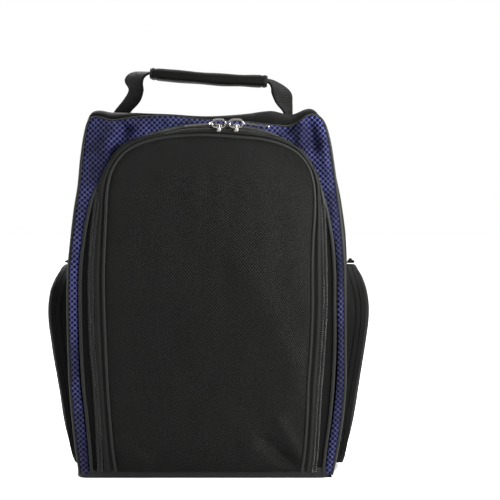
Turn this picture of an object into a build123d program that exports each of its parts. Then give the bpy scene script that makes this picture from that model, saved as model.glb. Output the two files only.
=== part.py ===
from build123d import *
import os

# A tall fabric shoe bag that stands on its base. +Z is up, the front faces -Y and +X is to the right.
# The origin is the middle of the base, on the surface that the bag stands on. All sizes are millimetres.

# Body
BASE_HALF_WIDTH = 125.0
WAIST_HALF_WIDTH = 139.5
WAIST_HEIGHT = 175.0
SHOULDER_HALF_WIDTH = 114.5
SHOULDER_HEIGHT = 355.0
TOP_CORNER_HEIGHT = 361.0
TOP_MIDDLE_HEIGHT = 356.0
TOP_CORNER_RADIUS = 8.0
BASE_DEPTH = 130.0
TOP_DEPTH = 100.0
PANEL = 2.4
LINING = 1.0
BACK_FOAM = 4.0
BOARD = 2.6
BOARD_MARGIN = 9.0
HEM_HEIGHT = 12.0
TOP_PANEL_HALF_WIDTH = 104.0

# Layers of the front, as Y positions from the outermost to the innermost
FRONT_WALL = -BASE_DEPTH / 2
HEM_FRONT = FRONT_WALL - 3.0
YOKE_FRONT = FRONT_WALL - 2.0
BINDING_FRONT = FRONT_WALL - 3.6
PIPING_FRONT = FRONT_WALL - 3.2
COIL_FRONT = FRONT_WALL - 4.2
TAPE_FRONT = FRONT_WALL - 1.6
TAPE_BACK = FRONT_WALL - 0.8
STRIP_FRONT = FRONT_WALL - 3.0
LID_FRONT = FRONT_WALL - 4.4
LID_BACK = FRONT_WALL - 2.0
LID_FOAM_BACK = FRONT_WALL + 1.0
LID_LINING_BACK = FRONT_WALL + 1.8
PIPING_WIDTH = 3.0

# The arch is the centre line of the main zip, open at the bottom
ARCH_MIDDLE = 115.0
ARCH_MIDDLE_HEIGHT = 165.0
ARCH_FOOT = 104.5
ARCH_SHOULDER = 107.0
ARCH_SHOULDER_HEIGHT = 282.0
ARCH_TOP = 346.0
ARCH_FLAT = 58.0
ARCH_START = 13.6
ZIP_GAP = 0.5
COIL_REACH = 3.4
BINDING_INNER = 8.5
BINDING_OUTER = 12.0
TOP_CROWDING = 0.4
LID_STRIP_OUTER = -4.0
LID_STRIP_INNER = -11.6
LID_PIPING_INNER = -14.6

# Main zip sliders and pulls
SLIDER_LEFT_X = 11.0
SLIDER_RIGHT_X = 28.0
SLIDER_LENGTH = 10.0
SLIDER_WIDTH = 9.0
SLIDER_PLATE = 1.2
SLIDER_POST = 0.4
RUNNING_GAP = 0.3
BRIDGE_LENGTH = 3.0
BRIDGE_WIDTH = 6.4
BRIDGE_RISE = 3.4
BRIDGE_HOLE = 2.4
RING_WIDTH = 14.5
RING_HEIGHT = 9.0
RING_WIRE = 1.5
TAB_LENGTH = 26.0
TAB_WIDTH = 4.6
TAB_THICKNESS = 1.3
TAB_SLOPE_LEFT = 6.0
TAB_SLOPE_RIGHT = 7.0

# Side pockets. Each one stands out of a side wall and hinges at its back edge.
POCKET_BOTTOM = 9.0
POCKET_TOP = 206.0
POCKET_FRONT = -52.0
POCKET_BACK = 38.0
POCKET_TOP_RADIUS = 55.0
POCKET_BOTTOM_RADIUS = 32.0
POCKET_SWELL_HEIGHTS = (8.0, 97.0, 168.0, 208.0)
POCKET_SWELLS = (8.0, 13.5, 19.6, 13.0)
POCKET_GUSSET_SHARE = 0.40
POCKET_COIL_START = 0.46
POCKET_SPLIT = 0.58
POCKET_COIL_END = 0.77
POCKET_CLEARANCE = 0.3
POCKET_WALL = 2.0
POCKET_COIL = 1.6
POCKET_TAPE_DEPTH = 1.4
POCKET_SLIDER_Y = 28.0
POCKET_PULL_LENGTH = 24.0
POCKET_PULL_WIDTH = 5.8
POCKET_PULL_WINDOW = 3.8

# Handle
HANDLE_Y = -15.0
WEBBING_WIDTH = 24.0
WEBBING = 2.2
FOOT_LENGTH = 30.0
FOOT_THICKNESS = 1.6
HANDLE_PIVOT_HEIGHT = 372.0
LEFT_FOOT_X = -86.0
RIGHT_FOOT_X = 80.0
GRIP_LENGTH = 118.0
GRIP_LEFT = (-59.0, 401.7)
GRIP_RIGHT = (59.0, 393.7)
GRIP_WIDTH = 31.0
GRIP_THICKNESS = 12.5
GRIP_SKIN = 1.5
GRIP_SLOPE = (GRIP_RIGHT[1] - GRIP_LEFT[1]) / (GRIP_RIGHT[0] - GRIP_LEFT[0])
WEBBING_RUN_OUT = 3.0

BEYOND = 30.0

os.makedirs("parts", exist_ok=True)


def front_plane(y):
    """A plane that faces the front, with X to the right and Z up in the sketch."""
    return Plane(origin=(0, y, 0), x_dir=(1, 0, 0), z_dir=(0, -1, 0))


# The back leans forward from the base to the top; its plane faces the inside of the bag
BACK_PLANE = Plane(
    origin=(0, BASE_DEPTH / 2, 0),
    x_dir=(1, 0, 0),
    z_dir=(0, -SHOULDER_HEIGHT, -(BASE_DEPTH - TOP_DEPTH)),
)


def half_width(height):
    """Half of the body's width at a height: widest at the waist, narrower at the base and the top."""
    if height < WAIST_HEIGHT:
        taper = WAIST_HALF_WIDTH - BASE_HALF_WIDTH
        share = (WAIST_HEIGHT - height) / WAIST_HEIGHT
    else:
        taper = WAIST_HALF_WIDTH - SHOULDER_HALF_WIDTH
        share = (height - WAIST_HEIGHT) / (SHOULDER_HEIGHT - WAIST_HEIGHT)
    return WAIST_HALF_WIDTH - taper * share**2


def top_height(x):
    """Height of the top panel, which sags in the middle."""
    rise = TOP_CORNER_HEIGHT - TOP_MIDDLE_HEIGHT
    return TOP_MIDDLE_HEIGHT + rise * (x / SHOULDER_HALF_WIDTH) ** 2


def body_outline(inset, floor):
    """Front outline of the body, drawn in by inset and cut off at floor."""
    corner_z = TOP_CORNER_HEIGHT - inset
    corner_x = half_width(corner_z) - inset
    waist = (WAIST_HALF_WIDTH - inset, WAIST_HEIGHT)
    with BuildSketch() as outline:
        with BuildLine():
            TangentArc(waist, (half_width(floor) - inset, floor), tangent=(0, -1))
            TangentArc(waist, (corner_x, corner_z), tangent=(0, 1))
            mirror(about=Plane.YZ)
            Line((half_width(floor) - inset, floor), (inset - half_width(floor), floor))
            ThreePointArc((corner_x, corner_z), (0, TOP_MIDDLE_HEIGHT - inset), (-corner_x, corner_z))
        make_face()
        fillet(outline.vertices().group_by(Axis.Y)[-1], max(TOP_CORNER_RADIUS - inset, 2 * LINING))
    return outline.sketch


def arch_outline(reach, floor=ARCH_START):
    """The zip's arch, grown outwards by reach. Near the top panel there is less room to grow."""
    top = ARCH_TOP + reach
    if reach > COIL_REACH:
        top = ARCH_TOP + COIL_REACH + (reach - COIL_REACH) * TOP_CROWDING
    middle = (ARCH_MIDDLE + reach, ARCH_MIDDLE_HEIGHT)
    shoulder = (ARCH_SHOULDER + reach, ARCH_SHOULDER_HEIGHT)
    foot = (ARCH_FOOT + reach, floor)
    with BuildSketch() as outline:
        with BuildLine():
            TangentArc(middle, foot, tangent=(0, -1))
            upper = TangentArc(middle, shoulder, tangent=(0, 1))
            Spline(shoulder, (ARCH_FLAT, top), tangents=(upper % 1, (-1, 0)))
            mirror(about=Plane.YZ)
            Line(foot, (-foot[0], floor))
            Line((ARCH_FLAT, top), (-ARCH_FLAT, top))
        make_face()
    return outline.sketch


def save(piece, name):
    """Label a finished piece and write it under its own name."""
    piece.part.label = name
    export_step(piece.part, f"parts/{name}.step")


def make_front_band(name, outer, inner, y_front, y_back):
    """A flat band between two front outlines, from y_back out to y_front."""
    with BuildPart() as band:
        with BuildSketch(front_plane(y_back)):
            add(outer)
            add(inner, mode=Mode.SUBTRACT)
        extrude(amount=y_back - y_front)
    save(band, name)


def make_front_sheet(name, outline, y_front, y_back):
    """A flat sheet with a front outline, from y_back out to y_front."""
    with BuildPart() as sheet:
        with BuildSketch(front_plane(y_back)):
            add(outline)
        extrude(amount=y_back - y_front)
    save(sheet, name)


# ---------------------------------------------------------------- body shell


def wall_tube(inset, thickness, back_inset):
    """The wall that runs round the base, sides and top, from the front to the leaning back."""
    with BuildPart() as tube:
        with BuildSketch(front_plane(BASE_DEPTH)):
            add(body_outline(inset, inset))
            add(body_outline(inset + thickness, inset + thickness), mode=Mode.SUBTRACT)
        extrude(amount=BASE_DEPTH - FRONT_WALL)
        split(bisect_by=BACK_PLANE.offset(back_inset), keep=Keep.TOP)
    return tube.part


def back_sheet(inset, nearest, farthest):
    """A sheet parallel to the leaning back, between two distances in from the outside."""
    with BuildPart() as sheet:
        with BuildSketch(front_plane(BASE_DEPTH)):
            add(body_outline(inset, inset))
        extrude(amount=BASE_DEPTH)
        split(bisect_by=BACK_PLANE.offset(nearest), keep=Keep.TOP)
        split(bisect_by=BACK_PLANE.offset(farthest), keep=Keep.BOTTOM)
    return sheet.part


def make_body_walls():
    tube = wall_tube(0, PANEL, PANEL)
    with BuildPart() as base_panel:
        add(tube)
        split(bisect_by=Plane.XY.offset(PANEL), keep=Keep.BOTTOM)
    save(base_panel, "base_panel")
    with BuildPart() as top_panel:
        add(tube)
        split(bisect_by=Plane.XY.offset(WAIST_HEIGHT), keep=Keep.TOP)
        split(bisect_by=Plane.YZ.offset(TOP_PANEL_HALF_WIDTH), keep=Keep.BOTTOM)
        split(bisect_by=Plane.YZ.offset(-TOP_PANEL_HALF_WIDTH), keep=Keep.TOP)
    save(top_panel, "top_panel")
    with BuildPart() as right_side_panel:
        add(tube)
        split(bisect_by=Plane.XY.offset(PANEL), keep=Keep.TOP)
        split(bisect_by=Plane.YZ.offset(TOP_PANEL_HALF_WIDTH), keep=Keep.TOP)
    save(right_side_panel, "right_side_panel")
    with BuildPart() as left_side_panel:
        add(right_side_panel.part.mirror(Plane.YZ))
    save(left_side_panel, "left_side_panel")


def make_linings():
    with BuildPart() as interior_lining:
        add(wall_tube(PANEL, LINING, PANEL))
    save(interior_lining, "interior_lining")
    foam_face = PANEL + BACK_FOAM
    with BuildPart() as back_panel:
        add(back_sheet(0, 0, PANEL))
    save(back_panel, "back_panel")
    with BuildPart() as back_foam:
        add(back_sheet(PANEL + LINING, PANEL, foam_face))
    save(back_foam, "back_foam")
    with BuildPart() as back_lining:
        add(back_sheet(PANEL + LINING, foam_face, foam_face + LINING))
    save(back_lining, "back_lining")


def make_base_board():
    floor = PANEL + LINING
    half_length = half_width(floor) - floor - BOARD_MARGIN
    front = FRONT_WALL + BOARD_MARGIN
    back = BASE_DEPTH / 2 - PANEL - BACK_FOAM - LINING - BOARD_MARGIN
    with BuildPart() as base_board:
        with BuildSketch(Plane.XY.offset(floor)):
            with Locations((0, (front + back) / 2)):
                RectangleRounded(2 * half_length, back - front, BOARD_MARGIN)
        extrude(amount=BOARD)
    save(base_board, "base_board")


def make_piping():
    make_front_band(
        "front_piping",
        body_outline(0, HEM_HEIGHT),
        body_outline(PIPING_WIDTH, HEM_HEIGHT - 1),
        PIPING_FRONT,
        FRONT_WALL,
    )
    with BuildPart() as back_piping:
        add(back_sheet(0, -PANEL, 0))
        add(back_sheet(PIPING_WIDTH, -2 * PANEL, PANEL), mode=Mode.SUBTRACT)
    save(back_piping, "back_piping")


# ---------------------------------------------------------------- front frame


def make_front_frame():
    with BuildPart() as hem:
        with BuildSketch(front_plane(FRONT_WALL)):
            add(body_outline(0, 0))
            with Locations((0, HEM_HEIGHT)):
                Rectangle(
                    2 * WAIST_HALF_WIDTH,
                    TOP_CORNER_HEIGHT,
                    align=(Align.CENTER, Align.MIN),
                    mode=Mode.SUBTRACT,
                )
        extrude(amount=FRONT_WALL - HEM_FRONT)
    save(hem, "front_hem_band")
    make_front_band(
        "front_yoke",
        body_outline(PIPING_WIDTH, HEM_HEIGHT),
        arch_outline(BINDING_INNER, HEM_HEIGHT - 1),
        YOKE_FRONT,
        FRONT_WALL,
    )
    make_front_band(
        "yoke_binding",
        arch_outline(BINDING_OUTER),
        arch_outline(BINDING_INNER, HEM_HEIGHT),
        BINDING_FRONT,
        YOKE_FRONT,
    )
    make_front_band(
        "main_zip_tape_frame",
        arch_outline(BINDING_INNER),
        arch_outline(ZIP_GAP, HEM_HEIGHT),
        TAPE_FRONT,
        TAPE_BACK,
    )
    make_front_band(
        "main_zip_coil_frame",
        arch_outline(COIL_REACH),
        arch_outline(ZIP_GAP, HEM_HEIGHT),
        COIL_FRONT,
        TAPE_FRONT,
    )


# ---------------------------------------------------------------- lid


def make_lid():
    make_front_band(
        "main_zip_coil_lid",
        arch_outline(-ZIP_GAP),
        arch_outline(-COIL_REACH, HEM_HEIGHT),
        COIL_FRONT,
        TAPE_FRONT,
    )
    make_front_band(
        "main_zip_tape_lid",
        arch_outline(-ZIP_GAP),
        arch_outline(LID_STRIP_INNER, HEM_HEIGHT),
        TAPE_FRONT,
        TAPE_BACK,
    )
    make_front_band(
        "lid_zip_strip",
        arch_outline(LID_STRIP_OUTER),
        arch_outline(LID_STRIP_INNER, HEM_HEIGHT),
        STRIP_FRONT,
        TAPE_FRONT,
    )
    make_front_band(
        "lid_piping",
        arch_outline(LID_STRIP_INNER),
        arch_outline(LID_PIPING_INNER, HEM_HEIGHT),
        LID_FRONT,
        LID_BACK,
    )
    make_front_sheet("lid_panel", arch_outline(LID_PIPING_INNER), LID_FRONT, LID_BACK)
    make_front_sheet("lid_foam", arch_outline(LID_PIPING_INNER), LID_BACK, LID_FOAM_BACK)
    make_front_sheet("lid_lining", arch_outline(LID_PIPING_INNER), LID_FOAM_BACK, LID_LINING_BACK)


# ---------------------------------------------------------------- main zip sliders


def make_slider(name, x):
    """Front plate over both halves of the coil, back plate behind the lid's half, and a bridge for the pull."""
    plate_back = COIL_FRONT - RUNNING_GAP
    plate_front = plate_back - SLIDER_PLATE
    back_plate_front = TAPE_BACK + RUNNING_GAP
    with BuildPart() as slider:
        with BuildSketch(front_plane(plate_back)):
            with Locations((x, ARCH_TOP)):
                RectangleRounded(SLIDER_LENGTH, SLIDER_WIDTH, 2)
        extrude(amount=SLIDER_PLATE)
        with BuildSketch(front_plane(plate_front)):
            with Locations((x, ARCH_TOP)):
                Rectangle(BRIDGE_LENGTH, BRIDGE_WIDTH)
        extrude(amount=BRIDGE_RISE)
        with BuildSketch(front_plane(plate_front)):
            with Locations((x, ARCH_TOP)):
                Rectangle(2 * BRIDGE_LENGTH, BRIDGE_HOLE)
        extrude(amount=BRIDGE_HOLE, mode=Mode.SUBTRACT)
        with BuildSketch(front_plane(back_plate_front)):
            with Locations((x, ARCH_TOP)):
                Rectangle(SLIDER_LENGTH / 2, SLIDER_POST)
        extrude(amount=back_plate_front - plate_back)
        with BuildSketch(front_plane(back_plate_front + SLIDER_PLATE)):
            with Locations((x, ARCH_TOP + SLIDER_POST / 2)):
                Rectangle(SLIDER_LENGTH, SLIDER_WIDTH / 2, align=(Align.CENTER, Align.MAX))
        extrude(amount=SLIDER_PLATE)
    save(slider, name)


def make_main_pull(side, x, outward, slope):
    """A wire ring through the slider's bridge, with a flat tab that lies along the zip."""
    bridge_middle = COIL_FRONT - RUNNING_GAP - SLIDER_PLATE - BRIDGE_HOLE / 2
    ring_z = ARCH_TOP + RING_HEIGHT / 2 - RING_WIRE / 2
    with BuildPart() as ring:
        with BuildSketch(front_plane(bridge_middle + RING_WIRE / 2)):
            with Locations((x, ring_z)):
                SlotOverall(RING_WIDTH, RING_HEIGHT)
                SlotOverall(RING_WIDTH - 2 * RING_WIRE, RING_HEIGHT - 2 * RING_WIRE, mode=Mode.SUBTRACT)
        extrude(amount=RING_WIRE)
        fillet(ring.edges().filter_by(Plane.XZ), RING_WIRE / 3)
    save(ring, f"{side}_pull_ring")
    start = Plane(
        origin=(x + outward * RING_WIDTH / 2, bridge_middle, ring_z),
        x_dir=Vector(outward, 0, 0).rotate(Axis.Y, outward * slope),
        z_dir=Vector(0, 0, 1).rotate(Axis.Y, outward * slope),
    )
    with BuildPart() as tab:
        with BuildSketch(start.offset(-TAB_THICKNESS / 2)):
            with Locations((TAB_LENGTH / 2 + RUNNING_GAP, 0)):
                SlotOverall(TAB_LENGTH, TAB_WIDTH)
        extrude(amount=TAB_THICKNESS)
    save(tab, f"{side}_pull_tab")


# ---------------------------------------------------------------- side pockets


def pocket_line(share, shift):
    """Points of a line on the pocket's front edge: share 0 is on the side wall, 1 is the outer skin."""
    return [
        (half_width(height) + share * swell + shift, height)
        for height, swell in zip(POCKET_SWELL_HEIGHTS, POCKET_SWELLS)
    ]


def pocket_layer(inner_share, inner_shift, outer_share, outer_shift):
    """The right pocket's material between two such lines, over the whole depth of the pocket."""
    inner_points = pocket_line(inner_share, inner_shift)
    outer_points = pocket_line(outer_share, outer_shift)
    with BuildPart() as layer:
        with BuildSketch(front_plane(POCKET_BACK)):
            with BuildLine():
                Spline(*inner_points)
                Line(inner_points[-1], outer_points[-1])
                Spline(*outer_points)
                Line(outer_points[0], inner_points[0])
            make_face()
        extrude(amount=POCKET_BACK - POCKET_FRONT + BEYOND)
    return layer.part


def pocket_prism(inset):
    """The pocket's D outline as seen from the side, drawn in by inset except at its straight back edge."""
    front = POCKET_FRONT + inset
    bottom = POCKET_BOTTOM + inset
    top = POCKET_TOP - inset
    low_corner = POCKET_BOTTOM_RADIUS - inset
    high_corner = POCKET_TOP_RADIUS - inset
    with BuildPart() as prism:
        with BuildSketch(Plane.YZ.offset(BASE_HALF_WIDTH - BEYOND)):
            with BuildLine():
                low_edge = Line((POCKET_BACK, bottom), (front + low_corner, bottom))
                low_arc = TangentArc(low_edge @ 1, (front, bottom + low_corner), tangent=(-1, 0))
                front_edge = Line(low_arc @ 1, (front, top - high_corner))
                high_arc = TangentArc(front_edge @ 1, (front + high_corner, top), tangent=(0, 1))
                high_edge = Line(high_arc @ 1, (POCKET_BACK, top))
                Line(high_edge @ 1, low_edge @ 0)
            make_face()
        extrude(amount=3 * BEYOND)
    return prism.part


def pocket_piece(layer, outer_inset, inner_inset):
    """A strip of a layer that follows the D outline, open at the hinge edge."""
    with BuildPart() as piece:
        add(layer)
        add(pocket_prism(outer_inset), mode=Mode.INTERSECT)
        add(pocket_prism(inner_inset), mode=Mode.SUBTRACT)
    return piece.part


def save_pair(name, right_piece):
    """Write the right-hand piece and its mirror image on the left."""
    with BuildPart() as right:
        add(right_piece)
    save(right, f"right_{name}")
    with BuildPart() as left:
        add(right_piece.mirror(Plane.YZ))
    save(left, f"left_{name}")


def make_pockets():
    gap = POCKET_CLEARANCE
    gusset = pocket_layer(0, gap / 2, POCKET_GUSSET_SHARE, 0)
    save_pair("pocket_gusset", pocket_piece(gusset, 0, POCKET_WALL))
    tape_fixed = pocket_layer(POCKET_GUSSET_SHARE, 0, POCKET_SPLIT, -gap)
    save_pair("pocket_tape_fixed", pocket_piece(tape_fixed, 0, POCKET_TAPE_DEPTH))
    coil_fixed = pocket_layer(POCKET_COIL_START, 0, POCKET_SPLIT, -gap)
    save_pair("pocket_coil_fixed", pocket_piece(coil_fixed, -POCKET_COIL, 0))
    coil_flap = pocket_layer(POCKET_SPLIT, gap, POCKET_COIL_END, 0)
    save_pair("pocket_coil_flap", pocket_piece(coil_flap, -POCKET_COIL, 0))
    tape_flap = pocket_layer(POCKET_SPLIT, gap, 1, -PANEL)
    save_pair("pocket_tape_flap", pocket_piece(tape_flap, 0, POCKET_TAPE_DEPTH))
    with BuildPart() as panel:
        add(pocket_layer(1, -PANEL, 1, 0))
        add(pocket_prism(0), mode=Mode.INTERSECT)
        with BuildPart(mode=Mode.PRIVATE) as back_wall:
            add(pocket_layer(0, 2 * gap, 1, -PANEL / 2))
            add(pocket_prism(POCKET_WALL + gap), mode=Mode.INTERSECT)
            split(bisect_by=Plane.XZ.offset(PANEL - POCKET_BACK), keep=Keep.BOTTOM)
        add(back_wall.part)
    save_pair("pocket_panel", panel.part)


def make_pocket_sliders():
    """Slider and pull tab at the top of each pocket's zip, near the hinge edge."""
    split_x = pocket_line(POCKET_SPLIT, 0)[-1][0]
    plate_bottom = POCKET_TOP + POCKET_COIL + RUNNING_GAP
    with BuildPart() as slider:
        with BuildSketch(Plane.XY.offset(plate_bottom)):
            with Locations((split_x, POCKET_SLIDER_Y)):
                RectangleRounded(SLIDER_WIDTH - 2, SLIDER_LENGTH, 2)
        extrude(amount=SLIDER_PLATE)
        with BuildSketch(Plane.XY.offset(plate_bottom + SLIDER_PLATE)):
            with Locations((split_x, POCKET_SLIDER_Y)):
                Rectangle(BRIDGE_LENGTH, BRIDGE_WIDTH)
        extrude(amount=BRIDGE_RISE)
        with BuildSketch(Plane.XY.offset(plate_bottom + SLIDER_PLATE)):
            with Locations((split_x, POCKET_SLIDER_Y)):
                Rectangle(2 * BRIDGE_LENGTH, BRIDGE_HOLE)
        extrude(amount=BRIDGE_HOLE, mode=Mode.SUBTRACT)
    save_pair("pocket_slider", slider.part)
    pull_z = plate_bottom + SLIDER_PLATE + BRIDGE_HOLE / 2
    pull_end = POCKET_SLIDER_Y + RING_WIRE / 2
    with BuildPart() as pull:
        with BuildSketch(Plane.XY.offset(pull_z - TAB_THICKNESS / 2)):
            with Locations((split_x, pull_end - POCKET_PULL_LENGTH / 2)):
                RectangleRounded(POCKET_PULL_WIDTH, POCKET_PULL_LENGTH, 1)
            with Locations((split_x, pull_end - RING_WIRE)):
                Rectangle(
                    POCKET_PULL_WINDOW,
                    POCKET_PULL_WINDOW,
                    align=(Align.CENTER, Align.MAX),
                    mode=Mode.SUBTRACT,
                )
        extrude(amount=TAB_THICKNESS)
    save_pair("pocket_pull", pull.part)


# ---------------------------------------------------------------- handle


def grip_height(x):
    """Height of the grip's centre line, which slopes a little because the webbing is soft."""
    return GRIP_LEFT[1] + GRIP_SLOPE * (x - GRIP_LEFT[0])


def make_handle_anchor(name, x, outward):
    """Webbing end sewn flat on the top panel, with a short leg that stands up beside the handle."""
    foot_z = top_height(x)
    leg_x = x + outward * (WEBBING + 0.4)
    with BuildPart() as anchor:
        with BuildSketch(front_plane(HANDLE_Y + WEBBING_WIDTH / 2)):
            with Locations((x, foot_z + FOOT_THICKNESS)):
                Rectangle(FOOT_LENGTH, 3 * FOOT_THICKNESS, align=(Align.CENTER, Align.MAX))
            with Locations((leg_x, foot_z)):
                Rectangle(WEBBING, HANDLE_PIVOT_HEIGHT - foot_z, align=(Align.CENTER, Align.MIN))
            add(body_outline(0, 0), mode=Mode.SUBTRACT)
        extrude(amount=WEBBING_WIDTH)
    save(anchor, name)


def make_handle():
    left_end = GRIP_LEFT[0] - WEBBING_RUN_OUT
    right_end = GRIP_RIGHT[0] + WEBBING_RUN_OUT
    with BuildPart() as webbing:
        with BuildSketch(front_plane(HANDLE_Y + WEBBING_WIDTH / 2)):
            with BuildLine():
                FilletPolyline(
                    (LEFT_FOOT_X, HANDLE_PIVOT_HEIGHT + 1),
                    (-81.0, 386.0),
                    (-84.0, 396.0),
                    (left_end, grip_height(left_end)),
                    (right_end, grip_height(right_end)),
                    (RIGHT_FOOT_X, 382.0),
                    (RIGHT_FOOT_X, HANDLE_PIVOT_HEIGHT + 1),
                    radius=2.5,
                )
            trace(line_width=WEBBING)
        extrude(amount=WEBBING_WIDTH)
    save(webbing, "handle_webbing")
    middle_x = (GRIP_LEFT[0] + GRIP_RIGHT[0]) / 2
    grip_end = Plane(
        origin=(middle_x, HANDLE_Y, grip_height(middle_x)),
        x_dir=(0, 1, 0),
        z_dir=(1, 0, GRIP_SLOPE),
    )
    inner = (GRIP_WIDTH - 2 * GRIP_SKIN, GRIP_THICKNESS - 2 * GRIP_SKIN)
    with BuildPart() as grip_sleeve:
        with BuildSketch(grip_end):
            RectangleRounded(GRIP_WIDTH, GRIP_THICKNESS, 5)
            RectangleRounded(inner[0], inner[1], 3.5, mode=Mode.SUBTRACT)
        extrude(amount=GRIP_LENGTH / 2, both=True)
    save(grip_sleeve, "grip_sleeve")
    with BuildPart() as grip_foam:
        with BuildSketch(grip_end):
            RectangleRounded(inner[0], inner[1], 3.5)
            Rectangle(WEBBING_WIDTH + 0.2, WEBBING + 0.2, mode=Mode.SUBTRACT)
        extrude(amount=GRIP_LENGTH / 2, both=True)
    save(grip_foam, "grip_foam")


make_body_walls()
make_linings()
make_base_board()
make_piping()
make_front_frame()
make_lid()
make_slider("left_main_slider", SLIDER_LEFT_X)
make_slider("right_main_slider", SLIDER_RIGHT_X)
make_main_pull("left", SLIDER_LEFT_X, -1, TAB_SLOPE_LEFT)
make_main_pull("right", SLIDER_RIGHT_X, 1, TAB_SLOPE_RIGHT)
make_pockets()
make_pocket_sliders()
make_handle_anchor("left_handle_anchor", LEFT_FOOT_X, -1)
make_handle_anchor("right_handle_anchor", RIGHT_FOOT_X, 1)
make_handle()
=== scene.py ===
import math

import bmesh
import bpy
from bpy.props import FloatProperty, FloatVectorProperty, PointerProperty
from mathutils import Matrix, Vector, noise


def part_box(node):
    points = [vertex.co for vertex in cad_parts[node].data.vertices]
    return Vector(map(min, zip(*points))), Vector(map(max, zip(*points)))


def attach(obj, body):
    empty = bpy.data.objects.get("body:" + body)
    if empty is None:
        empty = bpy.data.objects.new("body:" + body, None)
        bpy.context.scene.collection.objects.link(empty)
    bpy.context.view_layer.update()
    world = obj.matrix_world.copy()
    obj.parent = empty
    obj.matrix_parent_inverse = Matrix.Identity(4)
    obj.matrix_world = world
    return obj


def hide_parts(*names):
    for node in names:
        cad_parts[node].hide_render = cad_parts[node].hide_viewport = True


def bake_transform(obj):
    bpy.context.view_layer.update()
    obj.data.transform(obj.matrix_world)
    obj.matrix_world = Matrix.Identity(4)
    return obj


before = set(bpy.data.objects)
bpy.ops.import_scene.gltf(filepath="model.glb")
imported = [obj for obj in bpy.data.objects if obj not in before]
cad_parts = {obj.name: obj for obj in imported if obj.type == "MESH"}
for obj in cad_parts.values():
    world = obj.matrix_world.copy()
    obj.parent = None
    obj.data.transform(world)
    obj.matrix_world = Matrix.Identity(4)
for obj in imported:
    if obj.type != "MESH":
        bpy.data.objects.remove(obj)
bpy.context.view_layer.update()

bl_info = {
    "name": "Shoe Bag",
    "version": (1, 0, 0),
    "blender": (4, 5, 0),
    "location": "3D View > Sidebar > Shoe Bag",
    "description": "A soft shoe bag with a zip lid, two side pockets and a padded handle",
    "category": "Add Mesh",
}

# Shapes are worked out in millimetres and put in place in metres
MM = 0.001


def corner(node, end):
    """Lowest (0) or highest (1) corner of a CAD node, in millimetres."""
    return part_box(node)[end] / MM


# Driving sizes, read from the frame
WAIST = corner("front_piping", 1).x
BASE_HALF = corner("base_panel", 1).x
BODY_TOP = corner("right_side_panel", 1).z
FRONT = corner("front_yoke", 0).y
BACK = corner("back_panel", 1).y
BACK_LEAN = (BACK - corner("top_panel", 1).y - 2.4) / BODY_TOP
WAIST_HEIGHT = 175.0
SHOULDER_HEIGHT = 355.0
SHOULDER_HALF = 114.5
CORD = 3.4
# A tooth or stitch: its size across the row, along it and outwards
MAIN_TOOTH = (4.2, 0.95, 2.4)
POCKET_TOOTH = (3.8, 0.95, 2.2)
STITCH = (0.55, 2.3, 0.45)
NARROWEST_SHEET = 0.0101
# Half of the stretch over which a curve's direction is taken, as a share of the curve
NEAR = 0.002

# Five lines round the front, each from its left foot over the top to its right foot, as X and Z.
# Points with the same place in the lists lie beside each other.
SEAM = (
    (-125, 3), (-128.5, 27), (-132, 60), (-134.5, 93), (-135.7, 130), (-136.3, 170), (-135.3, 207),
    (-132.5, 235), (-128.8, 265), (-125, 288), (-122, 317), (-117, 350), (-112, 355.7), (-93.5, 352.5),
    (-68.5, 356), (-36.5, 356.7), (-1.5, 353), (34.5, 351), (62.5, 348), (82.5, 347.5), (100.5, 357.8),
    (111, 353.5), (117.5, 333), (121, 312), (124.8, 285), (129.5, 249), (132.7, 209), (133.5, 170),
    (133.8, 130), (133.8, 93), (131, 60), (126, 27), (121, 3),
)
MESH_EDGE = (
    (-117.5, 5), (-119.2, 27), (-122.5, 60), (-126.2, 93), (-127.9, 130), (-128.5, 170), (-127.7, 207),
    (-124.2, 235), (-118.7, 263), (-111, 286), (-103, 300), (-96, 313.5), (-86.5, 325.7), (-70.5, 334.8),
    (-51.5, 340), (-28.5, 346.3), (-1.5, 348.5), (29.5, 347), (53.5, 342.5), (74.5, 334.8), (90.5, 325.2),
    (101, 312.5), (107.5, 300), (112.5, 283), (119, 261), (124.5, 235), (127.2, 207), (127.7, 170),
    (128.3, 130), (127, 93), (123.8, 60), (118.8, 27), (116.5, 5),
)
ZIP_LINE = (
    (-106.5, 6), (-107.2, 27), (-108.7, 60), (-110.7, 93), (-113.7, 130), (-115.1, 170), (-114.9, 207),
    (-113.2, 235), (-110.3, 261), (-107.3, 283), (-101.5, 298), (-94.5, 312), (-85.3, 324.2), (-69.9, 333.2),
    (-50.5, 339), (-28, 344.5), (-1.5, 346.5), (29.5, 345), (53.5, 341), (73.5, 333.2), (89.5, 323.8),
    (99.5, 311), (106, 299), (110.2, 282), (112.8, 261), (113.8, 235), (114.7, 207), (114.9, 170), (113, 130),
    (110.3, 93), (108.3, 60), (106.5, 27), (104.5, 6),
)
LID_CORD = (
    (-91, 7), (-93.7, 27), (-96.7, 60), (-98.9, 93), (-100.5, 130), (-101.9, 170), (-102.1, 207),
    (-100.9, 235), (-99.8, 259), (-98.5, 282), (-95.7, 298), (-90, 310.5), (-81, 321.5), (-66.5, 330),
    (-48.5, 335), (-26.5, 337.7), (-1.5, 338.5), (27.5, 336.7), (51.5, 334.5), (70.5, 329.8), (86, 322),
    (96, 311.5), (101.3, 300.5), (104.3, 285), (104.8, 262), (103.1, 235), (102.5, 207), (102.7, 170),
    (101.3, 130), (98.8, 93), (97.7, 60), (95.3, 27), (92.5, 7),
)
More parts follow.
